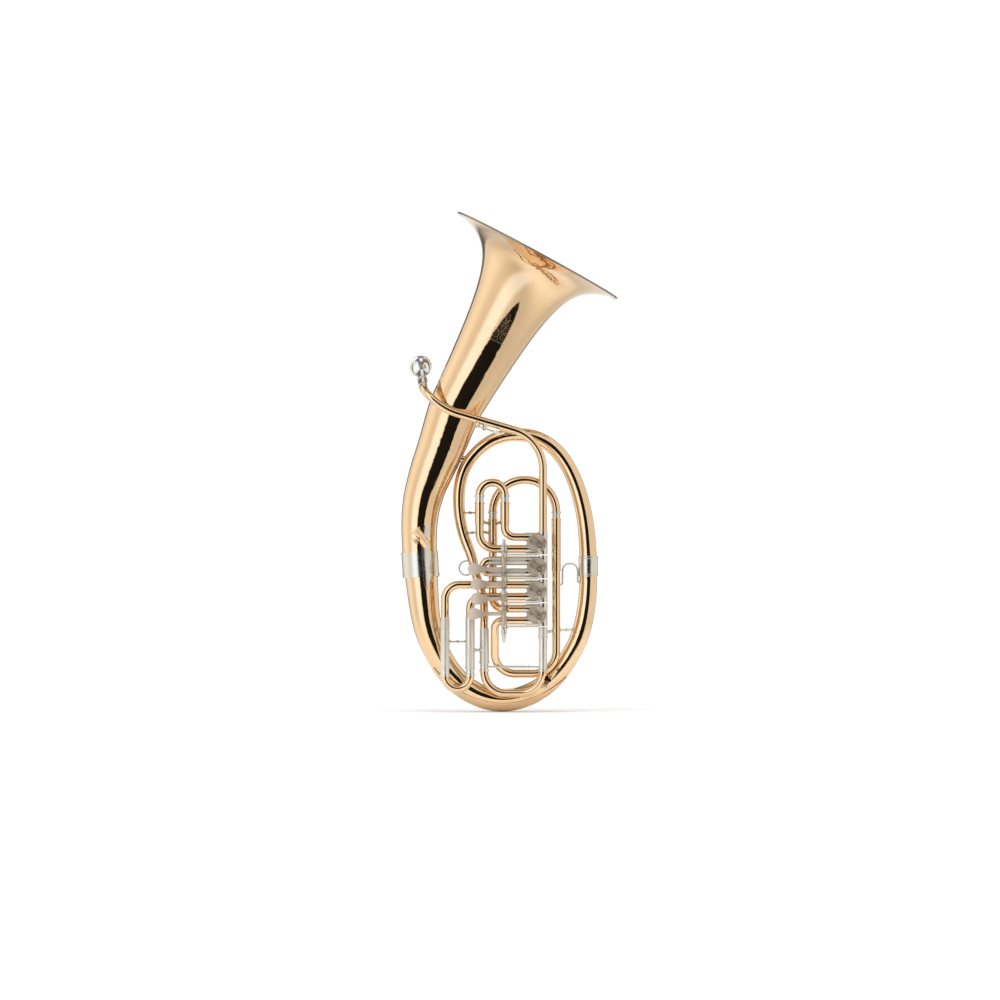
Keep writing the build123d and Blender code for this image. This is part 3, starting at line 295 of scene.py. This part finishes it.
LOOKS = {
    "gold_lacquer": [
        "bell", "bottom_bow", "bow_guard", "main_branch", "leadpipe",
        "slide_1_tubing", "slide_3_tubing", "slide_4_tubing",
        "slide_1_crook", "slide_2_crook", "slide_3_crook", "slide_4_crook", "main_slide_crook",
        "lyre_holder", "lyre_screw",
    ],
    "nickel_polish": [
        "bell_ferrule", "branch_ferrule", "mouthpiece_receiver", "braces", "hand_hook",
        "side_plate", "pull_ring", "slide_water_key", "leadpipe_water_key", "leadpipe_key_saddle",
        "valve_casing_1", "valve_casing_2", "valve_casing_3", "valve_casing_4", "valve_back_caps",
    ],
    "rim_bead": ["bell_rim_bead"],
    "plate_nickel": ["bearing_plates"],
    "arm_nickel": ["stop_arm_1", "stop_arm_2", "stop_arm_3", "stop_arm_4"],
    "nickel_satin": ["axle_brackets", "lever_axle", "link_1", "link_2", "link_3", "link_4"],
    "nickel_sleeve": ["outer_sleeves"],
    "nickel_bright": [
        "slide_1_legs", "slide_2_legs", "slide_3_legs", "slide_4_legs", "main_slide_legs",
    ],
    "lever_nickel": ["lever_1", "lever_2", "lever_3", "lever_4"],
    "silver_plate": ["mouthpiece"],
    "bare_brass": ["rotor_1", "rotor_2", "rotor_3", "rotor_4"],
    "spring_steel": ["lever_springs"],
    "cork_rubber": ["stop_corks"],
}
for look, names in LOOKS.items():
    for name in names:
        mesh = NODES[name].data
        mesh.materials.clear()
        mesh.materials.append(MATERIALS[look])


# Mesh helpers ------------------------------------------------------------------------------
def make_object(name, verts, faces, look, body, slot):
    mesh = bpy.data.meshes.new(name)
    mesh.from_pydata([tuple(vert) for vert in verts], [], faces)
    mesh.materials.append(MATERIALS[look])
    mesh.polygons.foreach_set("use_smooth", [True] * len(mesh.polygons))
    mesh.update()
    piece = bpy.data.objects.new(name, mesh)
    bpy.context.scene.collection.objects.link(piece)
    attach(piece, body)
    return piece


def wire_mesh(points, radius, sides=10, closed=False):
    """Vertices and faces of a round wire along points, in metres."""
    points = [Vector(point) for point in points]
    count = len(points)
    verts, faces = [], []
    normal = None
    for index in range(count):
        if closed:
            ahead, behind = points[(index + 1) % count], points[index - 1]
        else:
            ahead, behind = points[min(index + 1, count - 1)], points[max(index - 1, 0)]
        along = (ahead - behind).normalized()
        if normal is None:
            normal = along.orthogonal().normalized()
        normal = (normal - along * normal.dot(along)).normalized()
        side = along.cross(normal)
        for step in range(sides):
            turn = 2 * math.pi * step / sides
            outward = normal * math.cos(turn) + side * math.sin(turn)
            verts.append(points[index] + outward * radius)
    rings = count if closed else count - 1
    for index in range(rings):
        here, there = index * sides, ((index + 1) % count) * sides
        for step in range(sides):
            after = (step + 1) % sides
            faces.append((here + step, here + after, there + after, there + step))
    if not closed:
        faces.append(tuple(reversed(range(sides))))
        faces.append(tuple(range((count - 1) * sides, count * sides)))
    return verts, faces


def join_meshes(parts):
    verts, faces = [], []
    for part_verts, part_faces in parts:
        base = len(verts)
        verts += part_verts
        faces += [tuple(base + index for index in face) for face in part_faces]
    return verts, faces


# Lever springs -----------------------------------------------------------------------------
def spring_points(low, high):
    height = high - low - 2 * SPRING_WIRE
    turns = height / SPRING_PITCH
    steps = int(turns * SPRING_STEPS)
    points = []
    for step in range(steps + 1):
        share = step / steps
        angle = 2 * math.pi * turns * share
        points.append((
            (AXLE[0] + SPRING_MEAN_RADIUS * math.cos(angle)) * MM,
            (AXLE[1] + SPRING_MEAN_RADIUS * math.sin(angle)) * MM,
            (low + SPRING_WIRE + height * share) * MM,
        ))
    return points


coils = [
    wire_mesh(spring_points(low, high), SPRING_WIRE * MM, RING_SIDES) for low, high in SPRING_SPANS
]
springs = make_object("return_spring_coils", *join_meshes(coils), "spring_steel", "horn", "spring")
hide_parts("lever_springs")


# Beads round the ferrules ------------------------------------------------------------------
def ring_at(centre, axis, radius, wire):
    across = axis.orthogonal().normalized()
    other = axis.cross(across)
    points = []
    for step in range(RING_STEPS):
        turn = 2 * math.pi * step / RING_STEPS
        points.append(centre + (across * math.cos(turn) + other * math.sin(turn)) * radius)
    return wire_mesh(points, wire, RING_SIDES, closed=True)


def ferrule_rings(name, node, axis, offsets, wire):
    """Turned beads near both ends of a cylindrical ferrule."""
    points = [vert.co for vert in NODES[node].data.vertices]
    marks = [point.dot(axis) for point in points]
    low, high = min(marks), max(marks)
    ends = []
    for limit in (low, high):
        ring = [point for point, mark in zip(points, marks) if abs(mark - limit) < END_TOLERANCE]
        centre = axis * limit
        for side in (BACKWARDS, axis.cross(BACKWARDS)):
            reach = [point.dot(side) for point in ring]
            centre += side * (min(reach) + max(reach)) / 2
        ends.append((centre, max((point - centre).length for point in ring)))
    (start, radius), (finish, _) = ends
    along = (finish - start).normalized()
    length = (finish - start).length
    rings = []
    for offset in offsets:
        for place in (start + along * offset, start + along * (length - offset)):
            rings.append(ring_at(place, along, radius, wire))
    return make_object(name, *join_meshes(rings), "nickel_polish", "horn", "nickel")


ferrule_rings(
    "bell_ferrule_beads", "bell_ferrule", BELL_FERRULE_AXIS, BELL_BEAD_OFFSETS, BELL_BEAD_WIRE,
)
ferrule_rings(
    "branch_ferrule_beads", "branch_ferrule", Vector((0, 0, 1)), BRANCH_BEAD_OFFSETS,
    BRANCH_BEAD_WIRE,
)


# Turned rings on the valves' front plates ---------------------------------------------------
plate_low, plate_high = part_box("bearing_plates")
plate_radius = (plate_high.x - plate_low.x) / 2
plate_rings = []
for number in (1, 2, 3, 4):
    low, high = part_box(f"rotor_{number}")
    centre = (low + high) / 2
    centre.y = PLATE_FRONT * MM
    for share, wire in PLATE_RINGS:
        plate_rings.append(ring_at(centre, BACKWARDS, plate_radius * share, wire * MM))
make_object("valve_plate_rings", *join_meshes(plate_rings), "nickel_polish", "horn", "nickel")


# Engraved ornament on the bell -------------------------------------------------------------
def scroll(centre, size, start, turns, hand):
    """A spiral line in the plane of the ornament."""
    points = []
    for step in range(41):
        share = step / 40
        angle = start + hand * 2 * math.pi * turns * share
        reach = size * (1 - 0.82 * share)
        points.append((centre[0] + reach * math.cos(angle), centre[1] + reach * math.sin(angle)))
    return points


def leaf(foot, tip, width):
    """Outline of a pointed leaf."""
    (x0, z0), (x1, z1) = foot, tip
    length = math.hypot(x1 - x0, z1 - z0)
    along = ((x1 - x0) / length, (z1 - z0) / length)
    points = []
    for step in range(33):
        turn = 2 * math.pi * step / 32
        reach = length * (1 - math.cos(turn)) / 2
        side = width * math.sin(turn) * math.sin(turn / 2)
        x = x0 + along[0] * reach - along[1] * side
        z = z0 + along[1] * reach + along[0] * side
        points.append((x, z))
    return points


def ornament_lines():
    lines = []
    for hand in (-1, 1):
        lines.append(scroll((hand * 7.0, -13.0), 5.6, math.pi / 2, 1.6, hand))
        lines.append(scroll((hand * 5.0, -2.5), 4.4, -math.pi / 2, 1.5, -hand))
        lines.append(scroll((hand * 3.0, 7.0), 3.0, math.pi / 2, 1.4, hand))
        lines.append(leaf((hand * 2.0, -8.0), (hand * 11.5, -5.5), 1.8))
        lines.append(leaf((hand * 1.5, 1.5), (hand * 8.0, 4.5), 1.5))
        lines.append(leaf((hand * 0.5, 10.0), (hand * 4.5, 13.5), 1.1))
    for foot, tip, width in ((-19, -9, 2.4), (-8, 3, 2.2), (4, 20, 2.2)):
        lines.append(leaf((0, foot), (0, tip), width))
    for z in (-20.5, -21.8):
        lines.append([(x, z) for x in range(-12, 13, 2)])
    return lines


def on_bell(line):
    """Lays a flat line on the front of the bell."""
    bell = NODES["bell"]
    cosine, sine = math.cos(ORNAMENT_TILT), math.sin(ORNAMENT_TILT)
    points = []
    for across, up in line:
        across, up = across * ORNAMENT_SCALE, up * ORNAMENT_SCALE
        x = ORNAMENT_CENTRE[0] + across * cosine - up * sine
        z = ORNAMENT_CENTRE[1] + across * sine + up * cosine
        start = Vector((x * MM, ORNAMENT_RAY_START, z * MM))
        hit, place, normal, _ = bell.ray_cast(start, BACKWARDS)
        if hit:
            if normal.y > 0:
                normal = -normal
            points.append(place + normal * STROKE_LIFT * MM)
    return points


strokes = [wire_mesh(on_bell(line), STROKE_RADIUS * MM, 6) for line in ornament_lines()]
make_object("bell_scroll_ornament", *join_meshes(strokes), "etched_brass", "horn", "brass")


# Studio ------------------------------------------------------------------------------------
FLOOR_HALF = 3.0
FLOOR_DROP = 0.0005
FLOOR_FADE = (0.30, 0.95)                   # distances over which the floor turns clear

# The room that the metal reflects.  Slopes are sideways or up per unit forwards, angles are
# radians from the front, and heights are the Z of the direction.
OPENING_MIDDLE = 0.11                       # sideways slope of the dark opening
OPENING_SHIFT = 0.6                         # and its growth below the horizon
OPENING_EDGE = (0.38, 0.42)
OPENING_FOOT = (-0.66, -0.60)
OPENING_HEAD = (0.55, 0.75)
OPENING_DARKNESS = 0.985
NEAR_LIGHT = (-1.05, -0.74, -0.42, -0.16)
NEAR_LIGHT_GAIN = 0.40
FAR_LIGHT = (-2.35, -1.85, -1.70, -1.15)
FAR_LIGHT_GAIN = 0.24
DIM_STRIP = (2.45, 2.60, 2.80, 2.95)
DIM_STRIP_FOOT = (-0.45, -0.15)
DIM_STRIP_LOSS = 0.75
ROOM_LEVEL = 0.92
CEILING_DIM = (0.80, 0.93, 1.0, 0.30)
GROUND_DIM = (-0.60, -0.05, 0.80, 1.0)
ROOM_COLOUR = rgb(1.0, 0.985, 0.965)
NEAR_LIGHT_COLOUR = rgb(0.97, 1.08, 1.27)
BACKDROP_LEVEL = 1.05
# Name, place, aim, size and power of each lamp.
SOFT_LIGHTS = (
    ("left_softbox", (-2.6, -1.6, 1.2), (0, 0, 0.45), (0.7, 2.2), 26),
    ("right_softbox", (2.8, -1.0, 1.0), (0, 0, 0.4), (0.6, 2.2), 20),
    ("top_softbox", (0.1, -0.3, 2.8), (0, 0, 0), (1.8, 1.6), 34),
)
CAMERA_PLACE = (-0.004, -12.0, 0.349)
CAMERA_LENS = 261.8


def make_floor():
    side = FLOOR_HALF
    mesh = bpy.data.meshes.new("studio_floor")
    corners = [(-side, -side, 0), (side, -side, 0), (side, side, 0), (-side, side, 0)]
    mesh.from_pydata(corners, [], [(0, 1, 2, 3)])
    floor = bpy.data.objects.new("studio_floor", mesh)
    floor.location.z = CAD_BOX[0].z - FLOOR_DROP
    bpy.context.scene.collection.objects.link(floor)
    material, tree = new_material("floor_white")
    place = tree.add("TexCoord").outputs["Object"]
    distance = tree.add("VectorMath", {0: place}, operation="LENGTH").outputs["Value"]
    fade = tree.band(distance, *FLOOR_FADE)
    paint = tree.add("BsdfDiffuse", {"Color": rgb(0.97, 0.97, 0.97)})
    clear = tree.add("BsdfTransparent")
    joined = tree.add("MixShader", {0: fade, 1: paint.outputs[0], 2: clear.outputs[0]})
    finish_tree(tree, "OutputMaterial", joined)
    mesh.materials.append(material)


def make_world():
    """White room: a dark opening on the camera's side, two lights at the left, dim strips behind."""
    world = bpy.data.worlds.new("studio")
    world.use_nodes = True
    bpy.context.scene.world = world
    tree = Tree(world.node_tree)

    def times(first, second):
        return tree.maths("MULTIPLY", first, second)

    def lobe(angle, start, full, fading, end):
        """1 between full and fading, easing to 0 at start and end."""
        return times(tree.band(angle, start, full), tree.band(angle, fading, end, 1.0, 0.0))

    direction = tree.add("TexCoord").outputs["Generated"]
    split = tree.add("SeparateXYZ", {0: direction})
    x, y, z = split.outputs[0], split.outputs[1], split.outputs[2]
    front = times(y, -1.0)
    safe = tree.maths("MAXIMUM", front, 0.02)
    rise = tree.maths("DIVIDE", z, safe)
    sideways = tree.maths("DIVIDE", x, safe)
    drop = tree.maths("MAXIMUM", times(rise, -1.0), 0.0)
    middle = tree.maths("ADD", OPENING_MIDDLE, times(drop, OPENING_SHIFT))
    aside = tree.maths("ABSOLUTE", tree.maths("SUBTRACT", sideways, middle))
    width = tree.band(aside, *OPENING_EDGE, 1.0, 0.0)
    below = tree.band(rise, *OPENING_FOOT)
    above = tree.band(rise, *OPENING_HEAD, 1.0, 0.0)
    facing = tree.maths("GREATER_THAN", front, 0.0)
    opening = times(times(width, facing), times(below, above))

    azimuth = tree.maths("ARCTAN2", x, front)
    near = lobe(azimuth, *NEAR_LIGHT)
    far = lobe(azimuth, *FAR_LIGHT)
    apart = tree.maths("ABSOLUTE", azimuth)
    strips = times(lobe(apart, *DIM_STRIP), tree.band(z, *DIM_STRIP_FOOT))
    glow = tree.maths("ADD", ROOM_LEVEL, times(near, NEAR_LIGHT_GAIN))
    glow = tree.maths("ADD", glow, times(far, FAR_LIGHT_GAIN))
    glow = tree.maths("SUBTRACT", glow, times(strips, DIM_STRIP_LOSS))
    glow = times(glow, tree.band(z, *CEILING_DIM))
    glow = times(glow, tree.band(z, *GROUND_DIM))
    light = times(glow, tree.maths("SUBTRACT", 1.0, times(opening, OPENING_DARKNESS)))
    colour = tree.mix(near, ROOM_COLOUR, NEAR_LIGHT_COLOUR)
    room = tree.add("Background", {"Color": colour, "Strength": light})
    white = tree.add("Background", {"Color": rgb(1.0, 1.0, 1.0), "Strength": BACKDROP_LEVEL})
    seen = tree.add("LightPath").outputs["Is Camera Ray"]
    mixed = tree.add("MixShader", {0: seen, 1: room.outputs[0], 2: white.outputs[0]})
    finish_tree(tree, "OutputWorld", mixed)


def soft_light(name, place, aim, size, power):
    data = bpy.data.lights.new(name, "AREA")
    data.shape = "RECTANGLE"
    data.size, data.size_y = size
    data.energy = power
    light = bpy.data.objects.new(name, data)
    light.location = place
    light.rotation_mode = "QUATERNION"
    light.rotation_quaternion = (Vector(aim) - Vector(place)).to_track_quat("-Z", "Y")
    light.visible_glossy = False
    bpy.context.scene.collection.objects.link(light)


make_floor()
make_world()
for settings in SOFT_LIGHTS:
    soft_light(*settings)

camera_data = bpy.data.cameras.new("camera")
camera_data.sensor_width = 36.0
camera_data.lens = CAMERA_LENS
camera_data.clip_start, camera_data.clip_end = 0.05, 50.0
camera = bpy.data.objects.new("camera", camera_data)
camera.location = CAMERA_PLACE
camera.rotation_euler = (math.pi / 2, 0, 0)
bpy.context.scene.collection.objects.link(camera)
bpy.context.scene.camera = camera
bpy.context.scene.view_settings.view_transform = "Standard"
